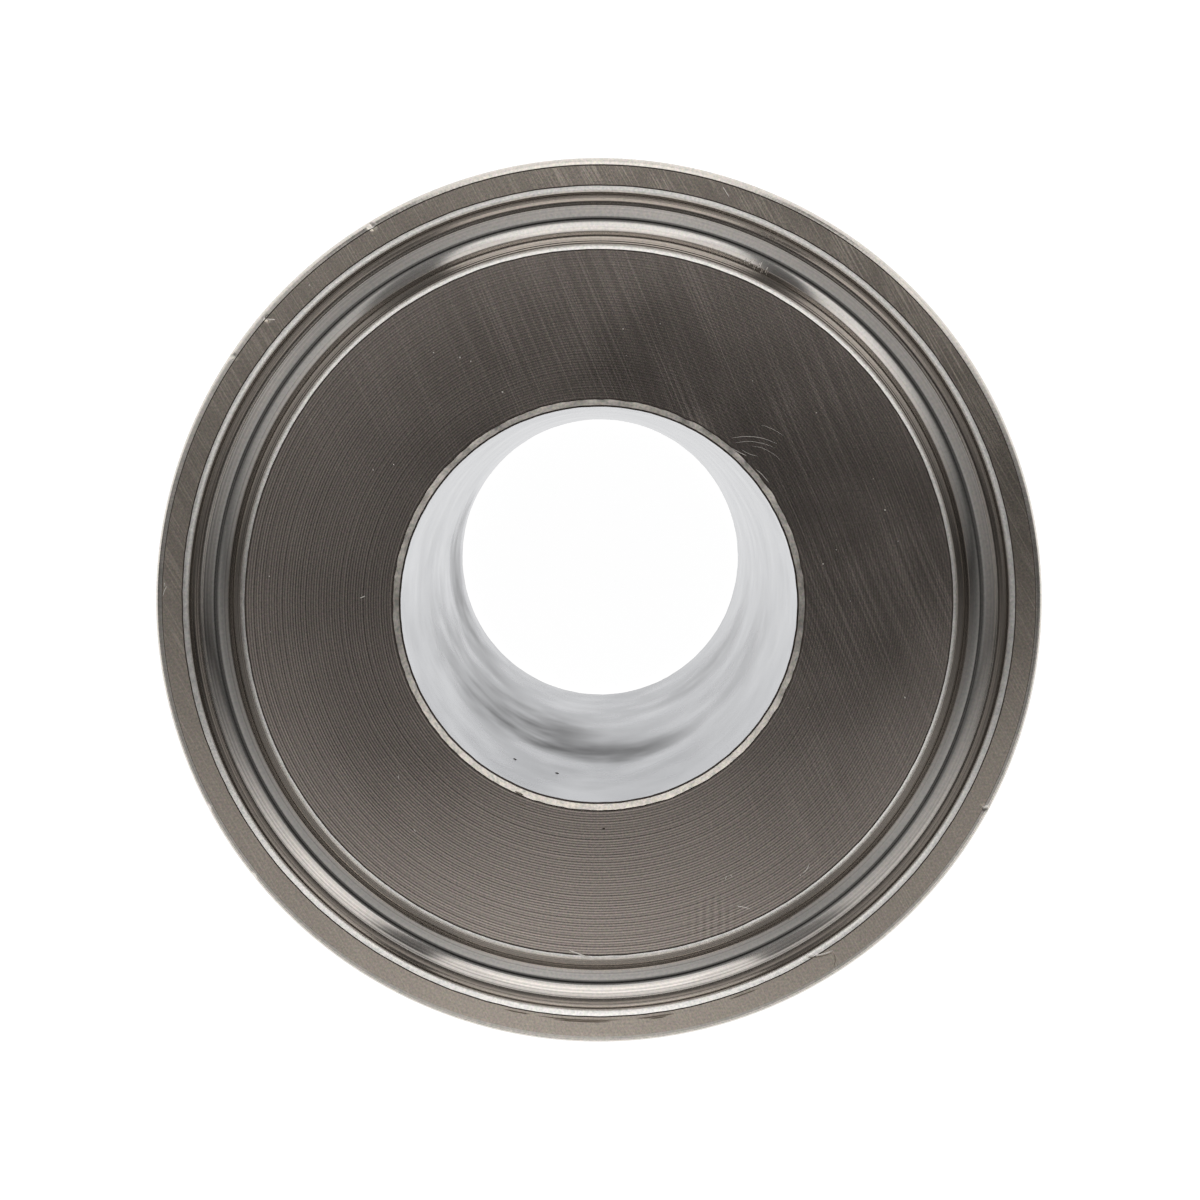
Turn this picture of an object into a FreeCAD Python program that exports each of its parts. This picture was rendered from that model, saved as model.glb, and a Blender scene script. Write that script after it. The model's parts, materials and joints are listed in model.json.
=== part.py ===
import FreeCAD, Part
import math
import os

import Sketcher

# A sanitary spool: a short stainless tube with the same hygienic clamp ferrule on both ends,
# welded, ground flush and turned, so that it is one piece of metal. It stands on one ferrule
# with its axis along Z. Millimetres. Origin: the middle of the lower ferrule's land.
#
# The body is drawn about its own middle plane. The upper half's blank is turned from one
# profile, the gasket groove is cut into its end by another, the bore's mouth is chamfered,
# and the whole half is then mirrored downward.

SIZES = {
    # Land to land: twice the length of a long weld ferrule, 28.6 mm.
    "spool_length": 57.2,
    # The bore that runs through the whole spool, and the wall of the tube round it: together
    # they make a tube 25 mm across.
    "bore_diameter": 22.6,
    "tube_wall": 1.2,
    # The clamp flange. Its back is the cone that the clamp's jaws ride up.
    "flange_diameter": 50.5,
    "rim_thickness": 2.85,
    "clamp_taper_angle": 20.0,
    "neck_radius": 3.2,
    # The gasket groove: a round channel whose centre lies at the level of the sealing face
    # inside it and of the land outside it, which are flush.
    "groove_diameter": 43.8,
    "groove_radius": 1.48,
    # Broken edges.
    "outer_lip_radius": 0.3,
    "inner_lip_radius": 0.3,
    "rim_front_radius": 0.4,
    "rim_back_radius": 0.4,
    "bore_chamfer": 0.4,
}

# How near an edge must lie to the place that the sizes give for it.
PLACE_TOLERANCE = 1e-4

# How a sketch numbers the points of a line or arc, and its origin.
START, END, CENTRE = range(1, 4)
ORIGIN = (-1, START)

FULL_TURN = 360.0


def add_sizes(document):
    """Keeps the driving sizes in a sheet, one cell and one alias for each."""
    sheet = document.addObject("Spreadsheet::Sheet", "Sizes")
    for row, (alias, value) in enumerate(SIZES.items(), start=1):
        cell = f"A{row}"
        sheet.set(cell, str(value))
        sheet.setAlias(cell, alias)
    document.recompute()


def add_profile_sketch(body, name):
    """Makes a sketch in the plane of the axis: its X is the radius and its Y the height."""
    plane = next(item for item in body.Origin.OriginFeatures if item.Role == "XZ_Plane")
    sketch = body.newObject("Sketcher::SketchObject", name)
    sketch.AttachmentSupport = [(plane, "")]
    sketch.MapMode = "FlatFace"
    return sketch


def add_line(sketch, start, end):
    """Draws a line between two points, each a radius and a height."""
    line = Part.LineSegment(FreeCAD.Vector(*start, 0), FreeCAD.Vector(*end, 0))
    return sketch.addGeometry(line, False)


def add_arc(sketch, centre, radius, start_angle, end_angle):
    """Draws an arc anticlockwise between two angles in radians."""
    circle = Part.Circle(FreeCAD.Vector(*centre, 0), FreeCAD.Vector(0, 0, 1), radius)
    return sketch.addGeometry(Part.ArcOfCircle(circle, start_angle, end_angle), False)


def constrain(sketch, kind, *elements):
    """Adds a constraint that has no size, such as Horizontal."""
    sketch.addConstraint(Sketcher.Constraint(kind, *elements))


def dimension(sketch, kind, elements, expression):
    """Adds a dimension of one kind between elements and ties it to the sheet."""
    value = sketch.evalExpression(expression)
    if kind == "Angle":
        value = math.radians(value)
    number = sketch.addConstraint(Sketcher.Constraint(kind, *elements, value))
    sketch.setExpression(f"Constraints[{number}]", expression)


def round_corner(sketch, line, end, expression):
    """Rounds the corner at a line's end. Dimensions still run to the sharp corner."""
    arc = sketch.GeometryCount
    trim_lines = True
    keep_corner = True
    sketch.fillet(line, end, sketch.evalExpression(expression), trim_lines, keep_corner)
    dimension(sketch, "Radius", (arc,), expression)


def turn(body, feature_type, name, sketch):
    """Turns a sketch all the way round the axis, as a solid or as a cut."""
    feature = body.newObject(feature_type, name)
    feature.Profile = sketch
    feature.ReferenceAxis = (sketch, ["V_Axis"])
    feature.Angle = FULL_TURN
    body.Document.recompute()
    return feature


def add_blank(body):
    """The upper half's blank: bored tube, neck, clamp cone and rim, turned from one profile."""
    sizes = body.Document.Sizes
    bore = sizes.bore_diameter / 2
    tube = bore + sizes.tube_wall
    flange = sizes.flange_diameter / 2
    land = sizes.spool_length / 2
    rim_back = land - sizes.rim_thickness
    cone_foot = rim_back - (flange - tube) * math.tan(math.radians(sizes.clamp_taper_angle))

    sketch = add_profile_sketch(body, "BlankProfile")
    corners = [
        (bore, 0),
        (tube, 0),
        (tube, cone_foot),
        (flange, rim_back),
        (flange, land),
        (bore, land),
    ]
    following = corners[1:] + corners[:1]
    lines = [add_line(sketch, start, end) for start, end in zip(corners, following)]
    for line, next_line in zip(lines, lines[1:] + lines[:1]):
        constrain(sketch, "Coincident", line, END, next_line, START)
    middle_line, tube_line, cone_line, rim_line, land_line, bore_line = lines
    for line in (middle_line, land_line):
        constrain(sketch, "Horizontal", line)
    for line in (tube_line, rim_line, bore_line):
        constrain(sketch, "Vertical", line)
    constrain(sketch, "Horizontal", *ORIGIN, middle_line, START)
    dimension(sketch, "DistanceX", (*ORIGIN, middle_line, START), "Sizes.bore_diameter / 2")
    dimension(sketch, "DistanceX", (middle_line, START, middle_line, END), "Sizes.tube_wall")
    dimension(sketch, "DistanceX", (*ORIGIN, land_line, START), "Sizes.flange_diameter / 2")
    dimension(sketch, "DistanceY", (*ORIGIN, land_line, START), "Sizes.spool_length / 2")
    dimension(sketch, "DistanceY", (rim_line, START, rim_line, END), "Sizes.rim_thickness")
    dimension(sketch, "Angle", (cone_line,), "Sizes.clamp_taper_angle")
    round_corner(sketch, tube_line, END, "Sizes.neck_radius")
    round_corner(sketch, cone_line, END, "Sizes.rim_back_radius")
    round_corner(sketch, rim_line, END, "Sizes.rim_front_radius")
    turn(body, "PartDesign::Revolution", "Blank", sketch)


def cut_gasket_groove(body):
    """Cuts the gasket groove, with a round lip between it and the flat on each side."""
    sizes = body.Document.Sizes
    groove = sizes.groove_diameter / 2
    depth = sizes.groove_radius
    land = sizes.spool_length / 2
    outer_round = sizes.outer_lip_radius
    inner_round = sizes.inner_lip_radius

    # A lip's centre lies its own radius below the flat, and a lip and the groove touch on the
    # line between their centres. These are that line's angle and where the lip meets the flat.
    outer_span = depth + outer_round
    inner_span = depth + inner_round
    outer_angle = math.asin(outer_round / outer_span)
    inner_angle = math.asin(inner_round / inner_span)
    outer_edge = groove + outer_span * math.cos(outer_angle)
    inner_edge = groove - inner_span * math.cos(inner_angle)

    sketch = add_profile_sketch(body, "GasketGrooveProfile")
    level_line = add_line(sketch, (inner_edge, land), (outer_edge, land))
    upright = math.pi / 2
    outer_lip = add_arc(
        sketch, (outer_edge, land - outer_round), outer_round, upright, math.pi - outer_angle
    )
    groove_arc = add_arc(
        sketch, (groove, land), depth, math.pi + inner_angle, 2 * math.pi - outer_angle
    )
    inner_lip = add_arc(
        sketch, (inner_edge, land - inner_round), inner_round, inner_angle, upright
    )
    constrain(sketch, "Tangent", level_line, END, outer_lip, START)
    constrain(sketch, "Tangent", outer_lip, END, groove_arc, END)
    constrain(sketch, "Tangent", groove_arc, START, inner_lip, START)
    constrain(sketch, "Tangent", inner_lip, END, level_line, START)
    constrain(sketch, "Horizontal", level_line)
    constrain(sketch, "PointOnObject", groove_arc, CENTRE, level_line)
    dimension(sketch, "DistanceX", (*ORIGIN, groove_arc, CENTRE), "Sizes.groove_diameter / 2")
    dimension(sketch, "DistanceY", (*ORIGIN, level_line, START), "Sizes.spool_length / 2")
    dimension(sketch, "Radius", (groove_arc,), "Sizes.groove_radius")
    dimension(sketch, "Radius", (outer_lip,), "Sizes.outer_lip_radius")
    dimension(sketch, "Radius", (inner_lip,), "Sizes.inner_lip_radius")

    volume_before = body.Tip.Shape.Volume
    cut = turn(body, "PartDesign::Groove", "GasketGroove", sketch)
    if cut.Shape.Volume >= volume_before:
        raise RuntimeError("the gasket groove takes no metal away")


def round_edge_names(shape, radius, height):
    """Names the shape's circular edges of one radius at one height."""
    names = []
    for number, edge in enumerate(shape.Edges, start=1):
        if not isinstance(edge.Curve, Part.Circle):
            continue
        radius_error = abs(edge.Curve.Radius - radius)
        height_error = abs(edge.Curve.Center.z - height)
        if max(radius_error, height_error) < PLACE_TOLERANCE:
            names.append(f"Edge{number}")
    return names


def chamfer_bore_mouth(body):
    """Breaks the edge where the bore meets the sealing face."""
    sizes = body.Document.Sizes
    base = body.Tip
    mouth = round_edge_names(base.Shape, sizes.bore_diameter / 2, sizes.spool_length / 2)
    if not mouth:
        raise RuntimeError("the bore's mouth isn't where the sizes put it")
    chamfer = body.newObject("PartDesign::Chamfer", "BoreMouth")
    chamfer.Base = (base, mouth)
    chamfer.setExpression("Size", "Sizes.bore_chamfer")
    body.Document.recompute()


def mirror_downward(body):
    """Makes the lower ferrule as the mirror image of the whole upper half."""
    middle = next(item for item in body.Origin.OriginFeatures if item.Role == "XY_Plane")
    mirror = body.newObject("PartDesign::Mirrored", "LowerHalf")
    mirror.TransformMode = "Whole shape"
    mirror.MirrorPlane = (middle, [""])
    body.Tip = mirror
    body.Document.recompute()


def make_spool(document):
    """Builds the spool and stands it on its lower land."""
    body = document.addObject("PartDesign::Body", "Spool")
    body.Label = "sanitary_spool"
    add_blank(body)
    cut_gasket_groove(body)
    chamfer_bore_mouth(body)
    mirror_downward(body)
    body.setExpression("Placement.Base.z", "Sizes.spool_length / 2")
    return body


def check(document, bodies):
    """Stops where an object failed or a sub-part isn't one sound solid."""
    failed = [item.Name for item in document.Objects if {"Invalid", "Error"} & set(item.State)]
    if failed:
        raise RuntimeError(f"these objects failed: {', '.join(failed)}")
    for body in bodies:
        shape = body.Shape
        if shape.isNull() or not shape.isValid() or len(shape.Solids) != 1:
            raise RuntimeError(f"{body.Label} isn't one sound solid")


def main():
    document = FreeCAD.newDocument("SanitarySpool")
    add_sizes(document)
    bodies = [make_spool(document)]
    document.recompute()
    check(document, bodies)
    os.makedirs("parts", exist_ok=True)
    for body in bodies:
        body.Shape.exportStep(f"parts/{body.Label}.step")


main()
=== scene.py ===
"""Sanitary spool: a short stainless tube with a clamp ferrule on each end, seen down its bore.

The spool stands on its lower ferrule, with the bore's axis on Z. Sizes are metres,
unless a name ends in _mm, and angles are degrees.
"""

import json
import logging
import math
import random
from collections.abc import Callable
from dataclasses import dataclass, field, replace
from enum import Enum
from functools import partial

import bmesh
import bpy
from mathutils import Matrix, Vector

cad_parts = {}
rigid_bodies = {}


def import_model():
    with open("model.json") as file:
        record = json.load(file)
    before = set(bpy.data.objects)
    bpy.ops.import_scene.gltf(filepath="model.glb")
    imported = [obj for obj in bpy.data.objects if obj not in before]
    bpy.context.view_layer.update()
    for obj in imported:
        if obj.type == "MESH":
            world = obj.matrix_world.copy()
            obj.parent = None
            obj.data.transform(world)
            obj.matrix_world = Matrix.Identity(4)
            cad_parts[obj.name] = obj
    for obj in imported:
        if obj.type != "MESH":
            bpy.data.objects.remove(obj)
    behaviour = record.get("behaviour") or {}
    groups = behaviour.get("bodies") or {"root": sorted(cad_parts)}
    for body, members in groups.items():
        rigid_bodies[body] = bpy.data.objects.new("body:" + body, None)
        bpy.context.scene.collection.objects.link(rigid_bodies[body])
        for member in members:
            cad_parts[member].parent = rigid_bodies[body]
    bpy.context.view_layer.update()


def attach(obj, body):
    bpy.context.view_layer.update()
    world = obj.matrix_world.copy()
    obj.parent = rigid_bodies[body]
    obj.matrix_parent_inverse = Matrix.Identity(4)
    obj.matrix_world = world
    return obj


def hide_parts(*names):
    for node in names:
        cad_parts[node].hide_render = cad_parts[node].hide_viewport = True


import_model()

LOG = logging.getLogger("spool")
MM = 0.001
TOP_MM = 57.2  # height of the upper land, the spool's length
BORE_RADIUS_MM = 11.3
NOISE_SPAN = (0.3, 0.7)  # most of a noise lies between these

Mesh, Material, Object = bpy.types.Mesh, bpy.types.Material, bpy.types.Object
Socket, Outputs = bpy.types.NodeSocket, bpy.types.NodeOutputs
Wire = bpy.types.Node | Socket  # what an input can be linked to
AddNode = Callable[..., bpy.types.Node]  # add_node, bound to one tree
Spot = tuple[float, float, float]
Span = tuple[float, float]
SectionPoint = tuple[float, float]  # radius and depth below the land, in mm
GreyRing = tuple[tuple[float, float], ...]  # bearings in degrees, each with its grey

# the kinds of node that come up often
MATH, VECTOR, NOISE = "ShaderNodeMath", "ShaderNodeVectorMath", "ShaderNodeTexNoise"
RANGE, MIX = "ShaderNodeMapRange", "ShaderNodeMix"
SPLIT, JOIN = "ShaderNodeSeparateXYZ", "ShaderNodeCombineXYZ"
PLACE, MOVE = "GeometryNodeInputPosition", "GeometryNodeSetPosition"
KEPT_VALUE, DRESS = "GeometryNodeInputNamedAttribute", "GeometryNodeSetMaterial"


class Finish(Enum):
    """The finishes that the spool's surfaces carry; the value is the number kept on its faces."""

    FACED = 0
    LIP = 1
    GROOVE = 2
    RIM = 3
    TUBE = 4
    BORE = 5
    EDGE = 6
    LAND = 7
    # painted shade: the thin dark lines beside the broken edges
    STAIN = 8
    WALL = 9
    MOUTH = 10


class MarkAxis(Enum):
    """What the turning marks are counted along."""

    RADIUS = "radius"
    HEIGHT = "height"


# ---- small helpers ----


def linear(hex_colour: str) -> tuple[float, float, float, float]:
    """Turns an sRGB colour into the linear one that shaders take.

    Args:
        hex_colour: the colour as "#RRGGBB".

    Returns:
        Red, green, blue and an alpha of 1.
    """
    values = [int(hex_colour[i : i + 2], 16) / 255 for i in (1, 3, 5)]
    red, green, blue = (v / 12.92 if v <= 0.04045 else ((v + 0.055) / 1.055) ** 2.4 for v in values)
    return (red, green, blue, 1.0)


def around(radius: float, angle: float, height: float = 0.0) -> Spot:
    """The point at a radius, at an angle round the axis and at a height."""
    turn = math.radians(angle)
    return (radius * math.cos(turn), radius * math.sin(turn), height)


def add_node(
    tree: bpy.types.NodeTree,
    kind: str,
    inputs: dict | list | None = None,
    operation: str = "",
    **settings: object,
) -> bpy.types.Node:
    """Adds a node, sets it up and feeds its inputs.

    Args:
        tree: the tree that gets the node.
        kind: the node's type name.
        inputs: in order, or by input name or number, a plain value, the socket that is linked
            to it, or the node whose first output in use is.
        operation: what it works out, where the kind has such an option.
        settings: the node's other options.

    Returns:
        The new node.
    """
    node = tree.nodes.new(kind)
    if operation:
        node.operation = operation
    for name, value in settings.items():
        setattr(node, name, value)
    for key, value in inputs.items() if isinstance(inputs, dict) else enumerate(inputs or []):
        if isinstance(value, bpy.types.Node):
            value = next(output for output in value.outputs if output.enabled)
        if isinstance(value, Socket):
            tree.links.new(value, node.inputs[key])
        else:
            node.inputs[key].default_value = value
    return node


def empty_tree(owner: Material | bpy.types.World) -> AddNode:
    """Clears the node tree of a material or the world.

    Args:
        owner: what has the tree.

    Returns:
        What adds a node to it.
    """
    owner.use_nodes = True
    owner.node_tree.nodes.clear()
    return partial(add_node, owner.node_tree)


def new_object(name: str, data: bpy.types.ID) -> Object:
    """Puts data into the scene as an object at the origin.

    Args:
        name: the object's name.
        data: its mesh, lamp or camera.

    Returns:
        The new object.
    """
    made = bpy.data.objects.new(name, data)
    bpy.context.scene.collection.objects.link(made)
    return made


def line_mesh(runs: list[list[Vector]], closed: bool = False, **kept: list) -> Mesh:
    """Makes a mesh of edges only, one chain for each run of points.

    Args:
        runs: the points of each chain, in metres.
        closed: whether each chain joins its last point to its first.
        kept: by attribute name, a number or a vector for each point.

    Returns:
        The mesh.
    """
    points, edges = [], []
    for chain in runs:
        first = len(points)
        points.extend(chain)
        edges.extend((first + i, first + i + 1) for i in range(len(chain) - 1))
        if closed:
            edges.append((len(points) - 1, first))
    mesh = bpy.data.meshes.new("lines")
    mesh.from_pydata(points, edges, [])
    for name, values in kept.items():
        kind = {int: "INT", float: "FLOAT"}.get(type(values[0]), "FLOAT_VECTOR")
        attribute = mesh.attributes.new(name, kind, "POINT")
        for entry, value in zip(attribute.data, values, strict=True):
            setattr(entry, "vector" if kind == "FLOAT_VECTOR" else "value", value)
    return mesh


def grow(
    name: str, start: Mesh, values: dict[str, object], shape: Callable[[AddNode, Outputs], Wire]
) -> Object:
    """Grows a piece from a mesh with Geometry Nodes and makes the result a plain mesh.

    Args:
        name: the piece's name.
        start: the points or lines that it grows from.
        values: the tree's named inputs, each with what it is set to.
        shape: adds the tree's nodes, given what adds one and the inputs, and returns the surface.

    Returns:
        The finished piece.
    """
    tree = bpy.data.node_groups.new(f"grow_{name}", "GeometryNodeTree")
    for way in ("INPUT", "OUTPUT"):
        tree.interface.new_socket("Geometry", in_out=way, socket_type="NodeSocketGeometry")
    source = new_object(f"{name}_start", start)
    modifier = source.modifiers.new("grow", "NODES")
    kinds = {float: "Float", int: "Int", Object: "Object", Material: "Material"}
    identifiers = {}
    for label, value in values.items():
        kind = next(kind for base, kind in kinds.items() if isinstance(value, base))
        socket = tree.interface.new_socket(label, in_out="INPUT", socket_type=f"NodeSocket{kind}")
        identifiers[label] = socket.identifier
    add = partial(add_node, tree)
    add("NodeGroupOutput", [shape(add, add("NodeGroupInput").outputs)])
    modifier.node_group = tree
    for label, value in values.items():
        modifier[identifiers[label]] = value
    graph = bpy.context.evaluated_depsgraph_get()
    grown = source.evaluated_get(graph)
    mesh = bpy.data.meshes.new_from_object(grown, preserve_all_data_layers=True, depsgraph=graph)
    source.modifiers.remove(modifier)
    bpy.data.objects.remove(source)
    # the slot in which faces wait for their finish ends up empty
    for slot in reversed(range(len(mesh.materials))):
        if mesh.materials[slot] is None:
            mesh.materials.pop(index=slot)
    mesh.name = name
    return new_object(name, mesh)


# ---- finishes ----


@dataclass(frozen=True)
class SteelFinish:
    """Stainless steel with the marks that one way of working it leaves."""

    name: str
    colour: str
    roughness: float
    metal: float = 1.0
    spread: float = 0.0  # how far reflections are drawn out across the marks
    marks: MarkAxis = MarkAxis.RADIUS
    ring_pitch_mm: float = 0.24
    ring_height_mm: float = 0.0
    ring_tone: float = 0.0
    ring_wave: float = 0.36  # share of the even feed marks in the rings; the rest is uneven
    ring_drift: float = 0.3  # how far the rings stray, against their pitch
    line_pitch_mm: float = 0.12
    line_length_mm: float = 45.0
    line_angle: float = -67.0
    line_cut: Span = (0.38, 0.66)  # the higher, the fewer lines
    line_tone: float = 0.0
    line_roughness: float = 0.3  # how much rougher the lines are, against their tone
    stroke_length_mm: float = 14.0  # how far one rub of the emery reaches
    stroke_width_mm: float = 3.5
    rubbed: bool = True  # the rings are rubbed out, and the lines stronger, towards +X +Y
    rubbed_mm: Span = (-9.0, 11.0)  # where the rubbing starts that way, and where it is full
    rings_left: float = 0.3  # share of the rings that full rubbing leaves
    lines_unrubbed: float = 0.25  # share of the lines where nothing is rubbed
    grain_mm: float = 0.08
    grain_height_mm: float = 0.0
    grain_tone: float = 0.0
    grain_hue: float = 0.0  # how far single grains lean to red, green or blue
    mottle_mm: float = 5.0
    mottle_tone: float = 0.06
    mottle_roughness: float = 0.12
    chatter_tone: float = 0.0
    chatter_place_mm: Spot = (6.6, -18.1, TOP_MM)
    chatter_reach_mm: float = 2.1
    chatter_pitch_mm: float = 0.44

    def material(self) -> Material:
        """Builds the shader.

        Returns:
            The material.
        """
        made = bpy.data.materials.new(self.name)
        add = empty_tree(made)
        place = add("ShaderNodeTexCoord").outputs["Object"]
        in_mm = add(VECTOR, {0: place, "Scale": 1 / MM}, "SCALE")
        rings, lines = self._worn(add, in_mm, self._rings(add, in_mm), self._lines(add, in_mm))
        grain = add(NOISE, {"Vector": in_mm, "Scale": 1 / self.grain_mm, "Detail": 1.0})
        mottle = add(NOISE, {"Vector": in_mm, "Scale": 1 / self.mottle_mm, "Detail": 3.0})
        layers = [
            (rings, self.ring_tone),
            (lines, self.line_tone),
            (grain, self.grain_tone),
            (mottle, self.mottle_tone),
        ]
        if self.chatter_tone:
            layers.append((self._chatter(add, in_mm), self.chatter_tone))
        least, most = (self.roughness * (1 + self.mottle_roughness * side) for side in (-1, 1))
        slow = add(RANGE, [mottle, *NOISE_SPAN, least, most])
        more = self.line_roughness * self.line_tone
        normal = add("ShaderNodeNewGeometry").outputs["Normal"]
        for pattern, height in ((rings, self.ring_height_mm), (grain, self.grain_height_mm)):
            if height:
                bump = {"Height": pattern, "Distance": height * MM, "Normal": normal}
                normal = add("ShaderNodeBump", bump)
        inputs = {
            "Base Color": self._tone(add, layers, grain.outputs["Color"]),
            "Metallic": self.metal,
            "Roughness": add(MATH, [lines, more, slow], "MULTIPLY_ADD"),
            "Anisotropic": self.spread,
            "Anisotropic Rotation": 0.25,
            "Normal": normal,
        }
        if self.spread:
            inputs["Tangent"] = add("ShaderNodeTangent", direction_type="RADIAL", axis="Z")
        add("ShaderNodeOutputMaterial", {"Surface": add("ShaderNodeBsdfPrincipled", inputs)})
        return made

    def _rings(self, add: AddNode, in_mm: Wire) -> Wire:
        """Draws the turning rings, partly even and partly uneven.

        Args:
            add: adds a node to the material.
            in_mm: the object's coordinates, in mm.

        Returns:
            The rings, about 0 to 1.
        """
        if self.marks is MarkAxis.RADIUS:
            flat = add(VECTOR, [in_mm, (1, 1, 0)], "MULTIPLY")
            along = add(VECTOR, [flat], "LENGTH")
        else:
            along = add(SPLIT, [in_mm]).outputs["Z"]
        # the less even the rings are, the more of the uneven ones, about one half
        pitch, rest = self.ring_pitch_mm, 1.6 * (0.58 - self.ring_wave)
        drift = add(NOISE, {"Vector": in_mm, "Scale": 0.25, "Detail": 1.0})
        turn = add(MATH, [drift, self.ring_drift * pitch, along], "MULTIPLY_ADD")
        phase = add(MATH, [turn, math.tau / pitch], "MULTIPLY")
        wave = add(MATH, [phase], "SINE")
        uneven = add(NOISE, {"W": turn, "Scale": 1 / pitch, "Detail": 1.0}, noise_dimensions="1D")
        faint = add(MATH, [uneven, 3 * rest, 0.5 - 1.5 * rest], "MULTIPLY_ADD")
        return add(MATH, [wave, self.ring_wave, faint], "MULTIPLY_ADD")

    def _lines(self, add: AddNode, in_mm: Wire) -> Wire:
        """Draws the straight emery lines, in strokes.

        Args:
            add: adds a node to the material.
            in_mm: the object's coordinates, in mm.

        Returns:
            The lines, 0 to 1.
        """
        turn = (0, 0, math.radians(-self.line_angle))
        laid = add("ShaderNodeMapping", {"Vector": in_mm, "Rotation": turn, "Scale": (1, 1, 0)})
        noises = []
        for length, width, detail in (
            (self.line_length_mm, self.line_pitch_mm, 0.0),
            (self.stroke_length_mm, self.stroke_width_mm, 2.0),
        ):
            drawn = add(VECTOR, [laid, (1 / length, 1 / width, 0)], "MULTIPLY")
            noises.append(add(NOISE, {"Vector": drawn, "Scale": 1.0, "Detail": detail}))
        streaks, strokes = noises
        # between the strokes the lines fade to half
        where = add(RANGE, [strokes, 0.35, 0.65, 0.5, 1.0])
        crisp = add(RANGE, [streaks, self.line_cut[0], self.line_cut[1]])
        return add(MATH, [crisp, where], "MULTIPLY")

    def _worn(self, add: AddNode, in_mm: Wire, rings: Wire, lines: Wire) -> tuple[Wire, Wire]:
        """Rubs the rings out and strengthens the lines towards one side.

        Args:
            add: adds a node to the material.
            in_mm: the object's coordinates, in mm.
            rings: the turning rings.
            lines: the emery lines.

        Returns:
            The rings and the lines as the rubbing leaves them.
        """
        if not self.rubbed or self.marks is not MarkAxis.RADIUS:
            return rings, lines
        corner = add(VECTOR, [in_mm, (0.7, 0.7, 0)], "DOT_PRODUCT")
        worn = add(RANGE, [corner, self.rubbed_mm[0], self.rubbed_mm[1]])
        left = add(RANGE, {0: worn, 3: 1.0, 4: self.rings_left})
        centred = add(MATH, [rings, 0.5], "SUBTRACT")
        rings = add(MATH, [centred, left, 0.5], "MULTIPLY_ADD")
        stronger = add(RANGE, {0: worn, 3: self.lines_unrubbed, 4: 1.0})
        return rings, add(MATH, [lines, stronger], "MULTIPLY")

    def _chatter(self, add: AddNode, in_mm: Wire) -> Wire:
        """Draws the few faint stripes that the shaking tool left in one place.

        Args:
            add: adds a node to the material.
            in_mm: the object's coordinates, in mm.

        Returns:
            The stripes, 0 to 1, and one half where there are none.
        """
        across, reach = add(SPLIT, [in_mm]), self.chatter_reach_mm
        phase = add(MATH, [across, math.tau / self.chatter_pitch_mm], "MULTIPLY")
        wave = add(MATH, [phase], "SINE")
        away = add(VECTOR, [in_mm, self.chatter_place_mm], "DISTANCE")
        near = add(RANGE, [away, 0.3 * reach, reach, 0.5, 0.0], interpolation_type="SMOOTHSTEP")
        return add(MATH, [wave, near, 0.5], "MULTIPLY_ADD")

    def _tone(self, add: AddNode, layers: list[tuple[Wire, float]], hues: Socket) -> Wire:
        """Lightens and darkens the steel's colour by each pattern.

        Args:
            add: adds a node to the material.
            layers: each pattern with how much it changes the colour.
            hues: the grain's hues.

        Returns:
            The colour.
        """
        share = None
        for pattern, amount in layers:
            offset = -amount / 2 if share else 1 - amount / 2
            step = add(MATH, [pattern, amount, offset], "MULTIPLY_ADD")
            share = add(MATH, [share, step], "ADD") if share else step
        steel = add(VECTOR, {0: linear(self.colour)[:3], "Scale": share}, "SCALE")
        if not self.grain_hue:
            return steel
        low, high = (1 - self.grain_hue / 2,) * 3, (self.grain_hue,) * 3
        tint = add(VECTOR, [hues, high, low], "MULTIPLY_ADD")
        return add(VECTOR, [steel, tint], "MULTIPLY")


@dataclass(frozen=True)
class Cloud:
    """A patch of painted dark reflection on the bore's wall, also rougher: its angle round the
    axis, its depth and its spread.
    """

    angle: float
    depth_mm: float
    round_mm: float
    along_mm: float
    strength: float


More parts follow.
